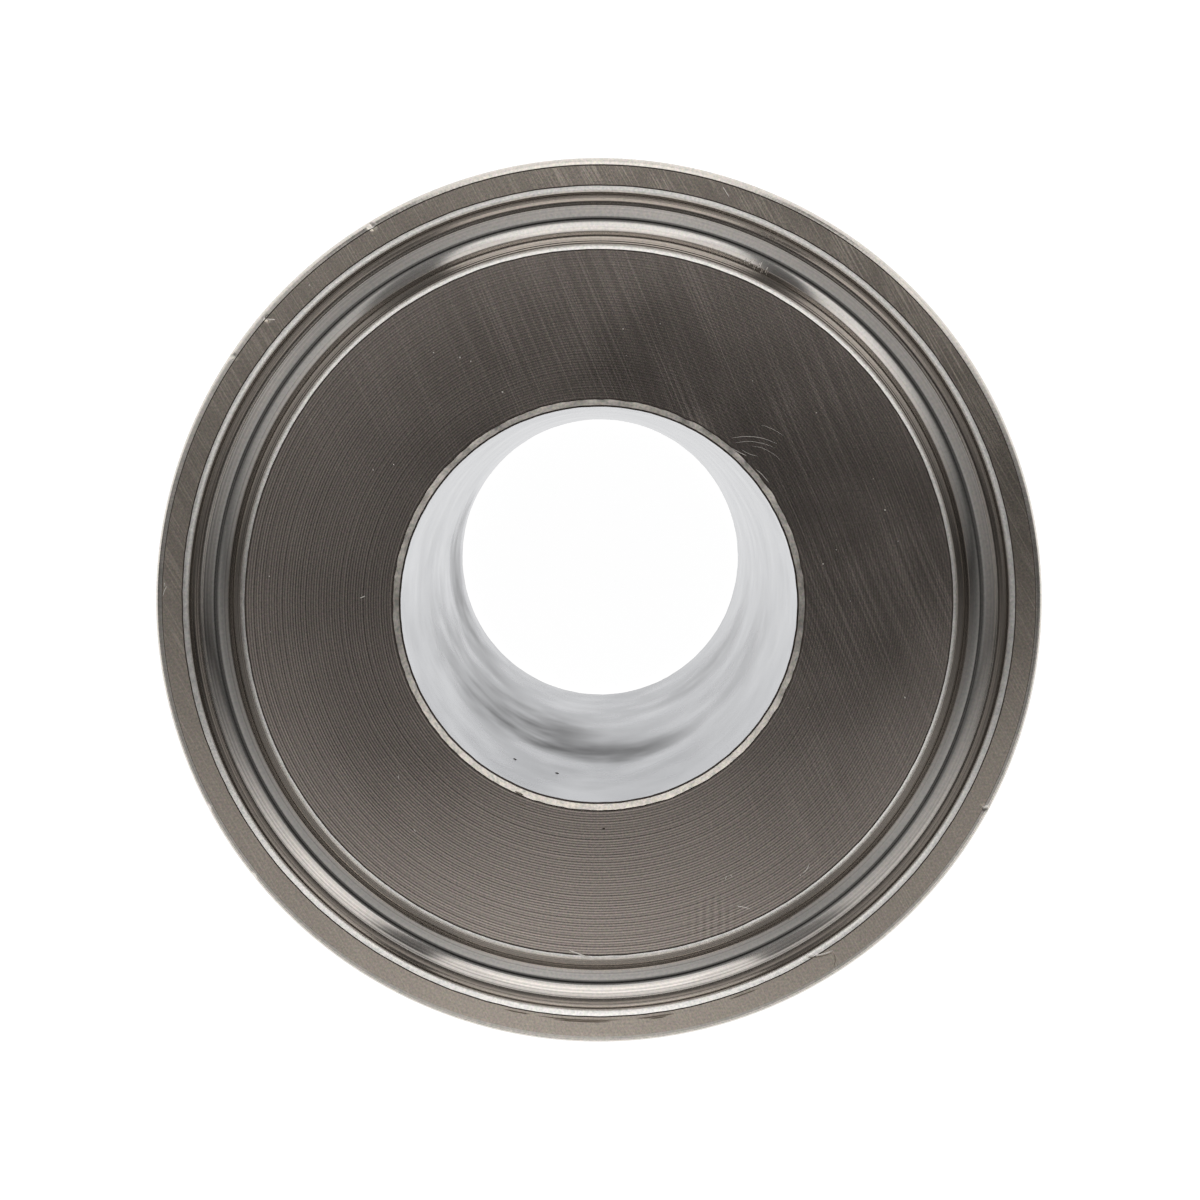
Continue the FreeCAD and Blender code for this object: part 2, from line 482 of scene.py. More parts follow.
@dataclass(frozen=True)
class BoreFinish(SteelFinish):
    """Polished bore with dark reflections painted in as dull, brownish clouds on its front side."""

    shade_cloud_colour: str = "#4E4A46"
    cloud_roughness: float = 0.62
    cloud_metal: float = 0.35
    fray: float = 0.006  # how far the clouds' outlines stray
    fray_count: float = 240.0  # how many times in a metre
    clouds: tuple[Cloud, ...] = (
        Cloud(-93.0, 21.5, 6.5, 5.2, 0.34),
        Cloud(-72.0, 19.5, 5.0, 3.5, 0.15),
        Cloud(-106.0, 31.0, 3.2, 7.0, 0.22),
        Cloud(-128.0, 27.0, 10.0, 14.0, 0.20),
        Cloud(-148.0, 44.0, 6.0, 8.0, 0.17),
        Cloud(-176.0, 48.0, 7.5, 7.0, 0.30),
        Cloud(-40.0, 43.0, 6.0, 7.0, 0.14),
        Cloud(-27.0, 25.0, 5.0, 9.0, 0.08),
        Cloud(-90.0, 34.0, 19.0, 70.0, 0.17),
    )

    def _patches(self, add: AddNode, place: Socket) -> Wire:
        """Adds the clouds up.

        Args:
            add: adds a node to the material.
            place: the object's coordinates.

        Returns:
            How strong the painted dark reflection and the roughening are, 0 to 1.
        """
        puffs = add(NOISE, {"Vector": place, "Scale": self.fray_count, "Detail": 2.0})
        shift = add(VECTOR, [puffs.outputs["Color"], (0.5, 0.5, 0.5)], "SUBTRACT")
        frayed = add(VECTOR, [shift, (self.fray,) * 3, place], "MULTIPLY_ADD")
        total = None
        for cloud in self.clouds:
            centre = around(BORE_RADIUS_MM * MM, cloud.angle, (TOP_MM - cloud.depth_mm) * MM)
            wide, high = 1 / (cloud.round_mm * MM), 1 / (cloud.along_mm * MM)
            offset = add(VECTOR, [frayed, centre], "SUBTRACT")
            scaled = add(VECTOR, [offset, (wide, wide, high)], "MULTIPLY")
            away = add(VECTOR, [scaled], "LENGTH")
            # full within a fifth of its spread, and gone a quarter past it
            fade = [away, 1.25, 0.2, 0.0, cloud.strength]
            share = add(RANGE, fade, interpolation_type="SMOOTHSTEP")
            total = add(MATH, [total, share], "ADD") if total else share
        uneven = add(RANGE, [puffs, *NOISE_SPAN, 0.7, 1.3])
        return add(MATH, [total, uneven], "MULTIPLY", use_clamp=True)

    def material(self) -> Material:
        """Builds the shader, with the clouds of painted dark reflection over the polished steel.

        Returns:
            The material.
        """
        made = super().material()
        tree = made.node_tree
        add = partial(add_node, tree)
        share = self._patches(add, add("ShaderNodeTexCoord").outputs["Object"])
        shader = next(node for node in tree.nodes if node.type == "BSDF_PRINCIPLED").inputs
        colour, rough = (shader[name].links[0].from_socket for name in ("Base Color", "Roughness"))
        # the clouds darken the colour as a painted dark reflection, and raise the roughness
        shaded_colour = {0: share, 6: colour, 7: linear(self.shade_cloud_colour)}
        shaded_and_dulled = {
            "Base Color": add(MIX, shaded_colour, data_type="RGBA").outputs[2],
            "Roughness": add(MIX, {0: share, 2: rough, 3: self.cloud_roughness}).outputs[0],
            "Metallic": add(RANGE, {0: share, 3: 1.0, 4: self.cloud_metal}).outputs[0],
        }
        for name, socket in shaded_and_dulled.items():
            tree.links.new(socket, shader[name])
        return made


FINISHES: dict[Finish, SteelFinish] = {
    # Faced on a lathe, then wiped with emery: dark warm grey, rings 0.15 mm apart, faint
    # straight lines, fine grain.
    Finish.FACED: SteelFinish(
        "faced_stainless", "#C6BAB1", 0.15, spread=0.3,
        ring_pitch_mm=0.148, ring_height_mm=0.0006, ring_tone=0.90, ring_wave=0.42,
        line_pitch_mm=0.09, line_length_mm=11.0, line_cut=(0.46, 0.70), line_tone=0.15,
        stroke_length_mm=24.0, stroke_width_mm=1.3,
        grain_mm=0.13, grain_tone=0.55, grain_hue=0.24, mottle_tone=0.05, chatter_tone=0.22,
    ),
    # The land beside the rim, rubbed harder with emery: short crossing lines and no rings; its
    # colour is a little brighter, a painted highlight for the light it catches out near the rim.
    Finish.LAND: SteelFinish(
        "emery_rubbed_highlit_stainless", "#D6CABD", 0.145, spread=0.3, ring_tone=0.04, rubbed=False,
        line_pitch_mm=0.08, line_length_mm=4.0, line_angle=-60.0, line_cut=(0.46, 0.72),
        line_tone=0.23, stroke_length_mm=6.0, stroke_width_mm=0.9,
        grain_mm=0.13, grain_tone=0.55, grain_hue=0.24, mottle_mm=1.5, mottle_tone=0.14,
    ),
    # Painted shade: thin dark lines along the broken edges, standing in for the dark reflections
    # there.
    Finish.STAIN: SteelFinish(
        "painted_shade_line", "#31261F", 0.45, metal=0.2,
        grain_mm=0.2, grain_tone=0.6, grain_hue=0.2, mottle_mm=1.2, mottle_tone=0.9,
    ),
    # Edges broken by hand: nearly white, dull and grainy.
    Finish.LIP: SteelFinish(
        "deburred_stainless_edge", "#F2EFEA", 0.34, grain_mm=0.16, grain_height_mm=0.006,
        grain_tone=0.55, grain_hue=0.15, mottle_mm=0.5, mottle_tone=0.2,
    ),
    # The bore mouth's broken edge, browned in patches by what the spool carried.
    Finish.MOUTH: SteelFinish(
        "browned_stainless_edge", "#EDE6DC", 0.36, grain_mm=0.18, grain_height_mm=0.006,
        grain_tone=0.75, grain_hue=0.22, mottle_mm=0.6, mottle_tone=0.60,
    ),
    # Outer edge of the rim, rounded with a file: duller than the lips, nearly as the land.
    Finish.EDGE: SteelFinish(
        "filed_stainless_edge", "#D6D0C8", 0.17, grain_mm=0.16, grain_height_mm=0.003,
        grain_tone=0.45, grain_hue=0.18, mottle_mm=0.6, mottle_tone=0.20,
    ),
    # Gasket groove cut with a form tool: nearly a mirror, warm grey, with fine rings.
    Finish.GROOVE: SteelFinish(
        "form_turned_stainless", "#C9C5C0", 0.09, ring_pitch_mm=0.16, ring_height_mm=0.0002,
        ring_tone=0.12, ring_wave=0.1, grain_mm=0.17, grain_tone=0.25, grain_hue=0.12,
    ),
    # Walls of that groove, where the tool scored deeper: fine dark lines all the way round.
    Finish.WALL: SteelFinish(
        "scored_stainless_wall", "#CAC4BE", 0.09, ring_pitch_mm=0.15, ring_height_mm=0.0006,
        ring_tone=0.85, ring_wave=0.1, grain_mm=0.17, grain_tone=0.25, grain_hue=0.12,
    ),
    # Rim and clamp cone, turned coarser: satin, with rings.
    Finish.RIM: SteelFinish(
        "turned_stainless", "#C6C1BA", 0.22, spread=0.4, rubbed=False,
        ring_pitch_mm=0.2, ring_height_mm=0.0015, ring_tone=0.22,
        grain_mm=0.12, grain_height_mm=0.002, grain_tone=0.12, mottle_tone=0.10,
    ),
    # Tube outside, belt polished round and round: soft satin.
    Finish.TUBE: SteelFinish(
        "belt_polished_stainless", "#B9B5B0", 0.20, spread=0.4, marks=MarkAxis.HEIGHT,
        ring_pitch_mm=0.16, ring_height_mm=0.0009, ring_tone=0.13, ring_wave=0.12,
        mottle_tone=0.10,
    ),
    # Bore, polished inside: cool light grey, with clouds of painted dark reflection.
    Finish.BORE: BoreFinish(
        "polished_stainless_bore", "#B4B6BB", 0.20, marks=MarkAxis.HEIGHT,
        ring_pitch_mm=0.3, ring_height_mm=0.0001, ring_tone=0.01,
        mottle_mm=4.0, mottle_tone=0.06, grain_mm=0.25, grain_tone=0.02,
    ),
}
# Raised burrs beside scratches: clean bright metal.
BURR = SteelFinish("bright_burr_stainless", "#E9E4DD", 0.35, grain_mm=0.05, grain_height_mm=0.004)
# Painted shadow: dark lines along the outer lip and beside a few scratches, brownish grey, matt, in
# patches.
SHADOW_FILM = SteelFinish(
    "painted_shadow_film", "#75695C", 0.5, metal=0.0,
    grain_mm=0.1, grain_tone=0.5, mottle_mm=0.4, mottle_tone=0.7,
)
# Dried dirt: dark brown, matt.
DIRT = SteelFinish(
    "dried_brown_dirt", "#352A21", 0.7, metal=0.0, grain_mm=0.05, grain_height_mm=0.01
)


# ---- the turned section ----


@dataclass(frozen=True)
class Band:
    """A run of the section that carries one finish."""

    finish: Finish
    points: list[SectionPoint]
    wander: Span = (0.0, 0.0)  # how far its two ends stray, in mm
    aside: tuple[float, ...] = ()  # how far each point's circle sits towards -Y, in mm, if it does


def arc(
    centre: SectionPoint, radius: float, start: float, end: float, steps: int
) -> list[SectionPoint]:
    """Points along an arc of the section.

    Args:
        centre: its radius and depth.
        radius: the arc's radius.
        start: the angle of its first point, from outwards towards deeper.
        end: the angle of its last point.
        steps: how many pieces it is cut into.

    Returns:
        The points, both ends among them.
    """
    angles = [math.radians(start + (end - start) * i / steps) for i in range(steps + 1)]
    return [(centre[0] + radius * math.cos(a), centre[1] + radius * math.sin(a)) for a in angles]


def run(first: SectionPoint, last: SectionPoint, steps: int = 1) -> list[SectionPoint]:
    """Points along a straight run of the section.

    Args:
        first: where it starts.
        last: where it ends.
        steps: how many pieces it is cut into.

    Returns:
        The points, both ends among them.
    """
    shares = [i / steps for i in range(steps + 1)]
    return [tuple(a + (b - a) * share for a, b in zip(first, last)) for share in shares]


@dataclass(frozen=True)
class Ferrule:
    """A clamp ferrule: land, gasket groove, sealing face, rim and clamp cone. Sizes are in mm."""

    flange_radius_mm: float = 25.25
    rim_thickness_mm: float = 2.85
    cone_angle: float = 20.0
    neck_radius_mm: float = 3.2
    tube_radius_mm: float = 12.5
    bore_radius_mm: float = BORE_RADIUS_MM
    groove_centre_mm: float = 21.9
    groove_radius_mm: float = 1.48
    lip_radius_mm: float = 0.3
    rim_round_mm: float = 0.4
    mouth_chamfer_mm: float = 0.4
    mouth_wander_mm: float = 0.05
    lip_wander_mm: float = 0.02
    lip_bulge: float = 0.35  # 1 is a full round, 0 a flat bevel
    shade_line_mm: float = 0.07  # width of the painted shade lines beside the broken edges
    chamfer_shade_line: float = 1.4  # width of the mouth's lower painted shade line, along each leg of the chamfer
    edge_shade_line_mm: float = 0.07  # of the painted shade line beside the rim's round, at the back; 0 in front
    scored_from_mm: float = 0.36  # how far from its middle the groove's walls are scored
    wall_angle: float = 54.0  # of the straight inner wall of the groove
    ridge_height_mm: float = 0.012
    ridge_least: float = 0.15  # share of that height at the groove's bottom
    ridge_rise_mm: Span = (0.25, 0.75)  # how far off its middle the ridges start to grow and end
    ridge_seed: int = 3
    round_steps: int = 4  # of the lips and of the rim's back
    edge_steps: int = 7
    neck_steps: int = 12
    groove_steps: int = 56
    face_steps: int = 8
    land_shares: tuple[float, ...] = (0.35, 0.60, 0.74, 0.82)  # closer to the rim's edge

    def lean(self) -> float:
        """How far below level the groove's arc meets the lips."""
        return math.degrees(math.asin(self.lip_radius_mm / self.lip_reach_mm()))

    def lip_reach_mm(self) -> float:
        """How far a lip's centre is from the groove's."""
        return self.groove_radius_mm + self.lip_radius_mm

    def neck_centre(self) -> SectionPoint:
        """Works out the centre of the round between cone and tube.

        Returns:
            Its radius and depth.
        """
        slope = math.radians(self.cone_angle)
        radius = self.tube_radius_mm + self.neck_radius_mm
        # the line of the cone passes the back corner of the rim
        on_cone = self.rim_thickness_mm + (self.flange_radius_mm - radius) * math.tan(slope)
        return radius, on_cone + self.neck_radius_mm / math.cos(slope)

    def wall_depth_mm(self, radius: float, start: SectionPoint) -> float:
        """Works out how deep the groove's inner wall lies at a radius.

        Args:
            radius: the radius, inside the groove's middle.
            start: where the straight wall starts beside the lip.

        Returns:
            The depth of the straight wall, or of the arc where that comes out past it.
        """
        off_middle = radius - self.groove_centre_mm
        across = math.sqrt(self.groove_radius_mm**2 - off_middle**2)
        straight = start[1] + (radius - start[0]) * math.tan(math.radians(self.wall_angle))
        return min(across, straight)

    def bands(self) -> list[Band]:
        """Lists the end's bands from the bore mouth out and down to the tube.

        Returns:
            The bands, each starting where the one before ends.
        """
        lip, rim, lean = self.lip_radius_mm, self.rim_round_mm, self.lean()
        span = math.sqrt(self.lip_reach_mm() ** 2 - lip**2)
        inner, outer = self.groove_centre_mm - span, self.groove_centre_mm + span
        rim_centre, slope = self.flange_radius_mm - rim, math.radians(self.cone_angle)
        # the round at the back of the rim touches the rim's cylinder and the cone
        back_depth = self.rim_thickness_mm + rim * math.tan(slope) - rim / math.cos(slope)
        few, cone = self.round_steps, self.cone_angle
        back = arc((rim_centre, back_depth), rim, 0, 90 - cone, few)
        neck = arc(self.neck_centre(), self.neck_radius_mm, 270 - cone, 180, self.neck_steps)
        wide, fine, shade_width = self.mouth_wander_mm, self.lip_wander_mm, self.shade_line_mm
        bore, chamfer = self.bore_radius_mm, self.mouth_chamfer_mm
        mouth, up = bore + chamfer, self.chamfer_shade_line * shade_width
        shade_end = (bore + up, chamfer - up)
        groove = self._groove()
        low = max(r for r, _ in groove if r < self.groove_centre_mm - self.scored_from_mm)
        high = min(r for r, _ in groove if r > self.groove_centre_mm + self.scored_from_mm)
        half = self.edge_shade_line_mm / 2
        land_end = rim_centre - half
        land = [outer + (land_end - outer) * share for share in self.land_shares]
        land = [(radius, 0.0) for radius in (outer + shade_width, *land, land_end)]
        face = run((mouth + shade_width, 0.0), (inner - shade_width, 0.0), self.face_steps)
        inner_lip = self._broken(arc((inner, lip), lip, 270, 360 - lean, few))
        outer_lip = self._broken(arc((outer, lip), lip, 180 + lean, 270, few))
        side = run((self.flange_radius_mm, rim), (self.flange_radius_mm, back_depth), 2)
        still = (0.0,) * (len(land) - 1)
        return [
            # the thin dark bands beside the mouth, the lips and the rim's round are painted shade
            Band(Finish.STAIN, run((bore, chamfer), shade_end), (fine, fine)),
            Band(Finish.MOUTH, run(shade_end, (mouth, 0.0), 2), (fine, wide)),
            Band(Finish.STAIN, run((mouth, 0.0), (mouth + shade_width, 0.0)), (wide, wide)),
            Band(Finish.FACED, face, (wide, fine)),
            Band(Finish.STAIN, run((inner - shade_width, 0.0), (inner, 0.0)), (fine, fine)),
            Band(Finish.LIP, inner_lip, (fine, 0.0)),
            Band(Finish.WALL, [p for p in groove if p[0] <= low]),
            Band(Finish.GROOVE, [p for p in groove if low <= p[0] <= high]),
            Band(Finish.WALL, [p for p in groove if p[0] >= high]),
            Band(Finish.LIP, outer_lip, (0.0, fine)),
            Band(Finish.STAIN, run((outer, 0.0), (outer + shade_width, 0.0)), (fine, fine)),
            Band(Finish.LAND, land, (fine, 0.0), (*still, half)),
            Band(Finish.STAIN, run((land_end, 0.0), (rim_centre, 0.0)), aside=(half, 0.0)),
            Band(Finish.EDGE, arc((rim_centre, rim), rim, 270, 360, self.edge_steps)),
            Band(Finish.RIM, side),
            Band(Finish.RIM, back),
            Band(Finish.RIM, run(back[-1], neck[0], 3)),
            Band(Finish.TUBE, neck),
        ]

    def _broken(self, rounded: list[SectionPoint]) -> list[SectionPoint]:
        """Flattens a rounded lip nearly to the bevel that breaking its edge by hand leaves.

        Args:
            rounded: the points of the round.

        Returns:
            As many points, nearer to the straight line between the first and the last.
        """
        flat = run(rounded[0], rounded[-1], len(rounded) - 1)
        return [
            tuple(b + self.lip_bulge * (a - b) for a, b in zip(on_arc, on_line))
            for on_arc, on_line in zip(rounded, flat)
        ]

    def _groove(self) -> list[SectionPoint]:
        """Draws the gasket groove with the fine ridges that the form tool left.

        Returns:
            The points from the inner lip to the outer one.
        """
        chance = random.Random(self.ridge_seed)
        centre, radius = self.groove_centre_mm, self.groove_radius_mm
        lean, (least, most) = self.lean(), self.ridge_rise_mm
        first, *middle, last = arc((centre, 0.0), radius, 180 - lean, lean, self.groove_steps)
        points = [first]
        for out, depth in middle:
            if out < centre:
                depth = self.wall_depth_mm(out, first)
            # the tool chattered more on the walls than at the bottom
            share = min(1.0, max(self.ridge_least, (abs(out - centre) - least) / (most - least)))
            ridge = share * chance.uniform(0, self.ridge_height_mm) / radius
            points.append((out + ridge * (centre - out), depth - ridge * depth))
        return [*points, last]


@dataclass(frozen=True)
class Dent:
    """A nick in an edge: its angle round the axis, radius and height, its reach and its push."""

    angle: float
    radius_mm: float
    height_mm: float
    reach_mm: float
    inward_mm: float
    down_mm: float

    def place(self) -> Vector:
        """Its middle, in metres."""
        return Vector(around(self.radius_mm, self.angle, self.height_mm)) * MM

    def push(self) -> Vector:
        """Which way and how far the metal gives, in metres."""
        return Vector(around(-self.inward_mm, self.angle, -self.down_mm)) * MM


@dataclass
class SpoolBody:
    """The whole turned body: two ferrules, the tube between them and the bore through all."""

    name: str = "spool_body"
    length_mm: float = TOP_MM
    ferrule: Ferrule = field(default_factory=Ferrule)
    hidden_groove_steps: int = 24  # of the lower ferrule, where less is seen
    hidden_face_steps: int = 4
    tube_steps: int = 4
    bore_steps: int = 10
    columns: int = 384
    close_columns: int = 7  # on each side of a nick
    close_step: float = 0.2  # degrees, as the next
    least_step: float = 0.12  # an even column nearer to a close one is left out
    path_radius_mm: float = 1.0
    weld_mm: float = 0.002
    wander_pitch_mm: float = 0.8
    seed: int = 7
    sharp_angle: float = 24.0
    dents: tuple[Dent, ...] = (
        Dent(120.8, 24.98, 57.16, 0.26, 0.07, 0.10),
        Dent(139.0, 24.80, 57.20, 0.24, 0.00, 0.05),
        Dent(145.6, 25.05, 57.12, 0.28, 0.04, 0.05),
        Dent(207.4, 25.15, 57.00, 0.26, 0.05, 0.06),
        Dent(218.1, 25.15, 57.00, 0.30, 0.05, 0.07),
        Dent(332.4, 25.00, 57.16, 0.24, 0.05, 0.07),
        Dent(64.0, 25.10, 0.10, 0.34, 0.07, -0.08),
        Dent(171.0, 25.10, 0.10, 0.28, 0.05, -0.06),
        Dent(283.5, 25.05, 0.06, 0.32, 0.06, -0.09),
    )

    def build(self, finishes: dict[Finish, Material]) -> Object:
        """Turns the body and dresses it.

        Args:
            finishes: the material of each finish.

        Returns:
            The finished piece.
        """
        path = new_object("turning_path", self._path_mesh())
        dents = new_object("dents", self._dent_mesh())
        values = {
            "Turning path": path,
            "Path radius": self.path_radius_mm * MM,
            "Weld distance": self.weld_mm * MM,
            "Wander pitch": self.wander_pitch_mm * MM,
            "Seed": float(self.seed),
            "Dents": dents,
            **{f"Finish {kind.name}": finishes[kind] for kind in Finish},
        }
        body = grow(self.name, self._section_mesh(), values, self._shape)
        for helper in (path, dents):
            bpy.data.objects.remove(helper)
        self._close_up(body.data)
        return body

    def _bands(self) -> list[Band]:
        """Lists the bands of the whole section, with heights in mm in place of depths.

        Returns:
            The bands of both ferrules, the tube and the bore.
        """
        shape, top = self.ferrule, self.length_mm
        upper = [
            replace(band, points=[(radius, top - depth) for radius, depth in band.points])
            for band in shape.bands()
        ]
        hidden = {"groove_steps": self.hidden_groove_steps, "face_steps": self.hidden_face_steps}
        radius, depth = shape.tube_radius_mm, shape.neck_centre()[1]
        tube = run((radius, top - depth), (radius, depth), self.tube_steps)
        inside, mouth, fine = shape.bore_radius_mm, shape.mouth_chamfer_mm, shape.lip_wander_mm
        bore = run((inside, top - mouth), (inside, mouth), self.bore_steps)
        return [
            *upper,
            Band(Finish.TUBE, tube),
            Band(Finish.BORE, bore, (fine, fine)),
            *replace(shape, **hidden).bands(),
        ]

    def _section_mesh(self) -> Mesh:
        """Makes the section as chains of edges in the XZ plane.

        Returns:
            The mesh, with each point's finish, how far it strays and how far it sits aside.
        """
        finish, wander, aside, runs = [], [], [], []
        for band in self._bands():
            count, (first, last) = len(band.points), band.wander
            runs.append([Vector((radius, 0.0, height)) * MM for radius, height in band.points])
            finish += [band.finish.value] * count
            wander += [(first + (last - first) * i / (count - 1)) * MM for i in range(count)]
            aside += [shift * MM for shift in band.aside or (0.0,) * count]
        return line_mesh(runs, finish=finish, wander=wander, aside=aside)

    def _path_mesh(self) -> Mesh:
        """Makes the circle that the section is turned round, with closer steps at each nick.

        Returns:
            The mesh.
        """
        even = {round(360 * i / self.columns, 4) for i in range(self.columns)}
        close = {
            round(dent.angle + self.close_step * k, 4) % 360
            for dent in self.dents
            for k in range(-self.close_columns, self.close_columns + 1)
        }
        free = {
            a for a in even if all(abs((a - c + 180) % 360 - 180) > self.least_step for c in close)
        }
        points = [Vector(around(self.path_radius_mm, a)) * MM for a in sorted(close | free)]
        return line_mesh([points], closed=True)

    def _dent_mesh(self) -> Mesh:
        """Makes one loose point for each nick, with its reach and push.

        Returns:
            The mesh.
        """
        reach = [dent.reach_mm * MM for dent in self.dents]
        push = [dent.push() for dent in self.dents]
        return line_mesh([[dent.place()] for dent in self.dents], reach=reach, push=push)

    def _shape(self, add: AddNode, given: Outputs) -> Wire:
        """Turns the section, lets its edges stray, nicks them and gives each band its finish.

        Args:
            add: adds a node to the tree.
            given: the tree's inputs.

        Returns:
            The finished surface.
        """
        surface = self._nicked(add, given, self._strayed(add, given, self._turned(add, given)))
        number = add(KEPT_VALUE, {"Name": "finish"}, data_type="INT")
        kept = add(
            "GeometryNodeStoreNamedAttribute",
            {"Geometry": surface, "Name": "band", "Value": number},
            data_type="INT",
            domain="FACE",
        )
        weld = {"Geometry": kept, "Distance": given["Weld distance"]}
        closed = add("GeometryNodeMergeByDistance", weld)
        smooth = add("GeometryNodeSetShadeSmooth", {"Geometry": closed})
        surface = add("GeometryNodeRealizeInstances", [smooth])
        band = add(KEPT_VALUE, {"Name": "band"}, data_type="INT")
        for kind in Finish:
            chosen = add("FunctionNodeCompare", {2: band, 3: kind.value}, "EQUAL", data_type="INT")
            finish = given[f"Finish {kind.name}"]
            surface = add(DRESS, {"Geometry": surface, "Selection": chosen, "Material": finish})
        return surface

    def _turned(self, add: AddNode, given: Outputs) -> Wire:
        """Adds the nodes that sweep the section round the path.

        Args:
            add: adds a node to the tree.
            given: the tree's inputs.

        Returns:
            The swept surface.
        """
        parts = add(SPLIT, [add(PLACE)]).outputs
        outward = add(MATH, [parts["X"], given["Path radius"]], "SUBTRACT")
        downward = add(MATH, [parts["Z"], -1.0], "MULTIPLY")
        laid = add(JOIN, [outward, downward])
        flat = add(MOVE, {"Geometry": given["Geometry"], "Position": laid})
        section = add("GeometryNodeMeshToCurve", [flat])
        circle = add("GeometryNodeObjectInfo", {"Object": given["Turning path"]})
        path = add("GeometryNodeMeshToCurve", [circle.outputs["Geometry"]])
        level = add("GeometryNodeSetCurveNormal", {"Curve": path}, mode="Z_UP")
        return add("GeometryNodeCurveToMesh", {"Curve": level, "Profile Curve": section})

    def _strayed(self, add: AddNode, given: Outputs, surface: Wire) -> Wire:
        """Adds the nodes that let hand-broken edges stray in and out.

        Args:
            add: adds a node to the tree.
            given: the tree's inputs.
            surface: the surface so far.

        Returns:
            The surface with strayed edges.
        """
        spot = add(PLACE)
        level = add(VECTOR, [spot, (1, 1, 0)], "MULTIPLY")
        outward = add(VECTOR, [level], "NORMALIZE")
        count = add(MATH, [1.0, given["Wander pitch"]], "DIVIDE")
        waves = {"Vector": spot, "W": given["Seed"], "Scale": count, "Detail": 3.0}
        noise = add(NOISE, waves, noise_dimensions="4D")
        swing = add(RANGE, [noise, 0.25, 0.75, -1.0, 1.0])
        limit = add(KEPT_VALUE, {"Name": "wander"})
        far = add(MATH, [swing, limit], "MULTIPLY")
        offset = add(VECTOR, {0: outward, "Scale": far}, "SCALE")
        shift = add(KEPT_VALUE, {"Name": "aside"})
        moved = add(JOIN, {1: add(MATH, [shift, -1.0], "MULTIPLY")})
        both = add(VECTOR, [offset, moved], "ADD")
        return add(MOVE, {"Geometry": surface, "Offset": both})

    def _nicked(self, add: AddNode, given: Outputs, surface: Wire) -> Wire:
        """Adds the nodes that push the surface in at the nearest nick.

        Args:
            add: adds a node to the tree.
            given: the tree's inputs.
            surface: the surface so far.

        Returns:
            The nicked surface.
        """
        marks = add("GeometryNodeObjectInfo", {"Object": given["Dents"]}).outputs["Geometry"]
        spot = add(PLACE)
        where = {"Geometry": marks, "Sample Position": spot}
        nearest = add("GeometryNodeSampleNearest", where)
        sampled = []
        for name, kind in (("", "FLOAT_VECTOR"), ("reach", "FLOAT"), ("push", "FLOAT_VECTOR")):
            value = add(KEPT_VALUE, {"Name": name}, data_type=kind) if name else spot
            at_nearest = {"Geometry": marks, "Value": value, "Index": nearest}
            sampled.append(add("GeometryNodeSampleIndex", at_nearest, data_type=kind))
        middle, reach, push = sampled
        away = add(VECTOR, [spot, middle], "DISTANCE")
        depth = add(RANGE, [away, 0.0, reach, 1.0, 0.0], interpolation_type="SMOOTHSTEP")
        offset = add(VECTOR, {0: push, "Scale": depth}, "SCALE")
        return add(MOVE, {"Geometry": surface, "Offset": offset})

    def _close_up(self, mesh: Mesh) -> None:
        """Turns every face outwards, marks the crisp edges and reports what is open.

        Args:
            mesh: the turned body.
        """
        shell = bmesh.new()
        shell.from_mesh(mesh)
        bmesh.ops.recalc_face_normals(shell, faces=shell.faces)
        open_edges = sum(not edge.is_manifold for edge in shell.edges)
        volume = shell.calc_volume(signed=True)
        shell.to_mesh(mesh)
        shell.free()
        for name in ("finish", "wander", "aside", "band"):
            if name in mesh.attributes:
                mesh.attributes.remove(mesh.attributes[name])
        mesh.set_sharp_from_angle(angle=math.radians(self.sharp_angle))
        LOG.info("body: %d open edges, %.1f mm3", open_edges, volume / MM**3)


# ---- wear ----


@dataclass(frozen=True)
class Scratch:
    """A fine raised scratch: its width and the spots it runs through; without a height, on top."""

    width_mm: float
    spots: tuple[tuple[float, ...], ...]

    def places(self) -> list[Vector]:
        """Its spots in space, in metres."""
        return [Vector((x, y, *(height or [TOP_MM]))) * MM for x, y, *height in self.spots]


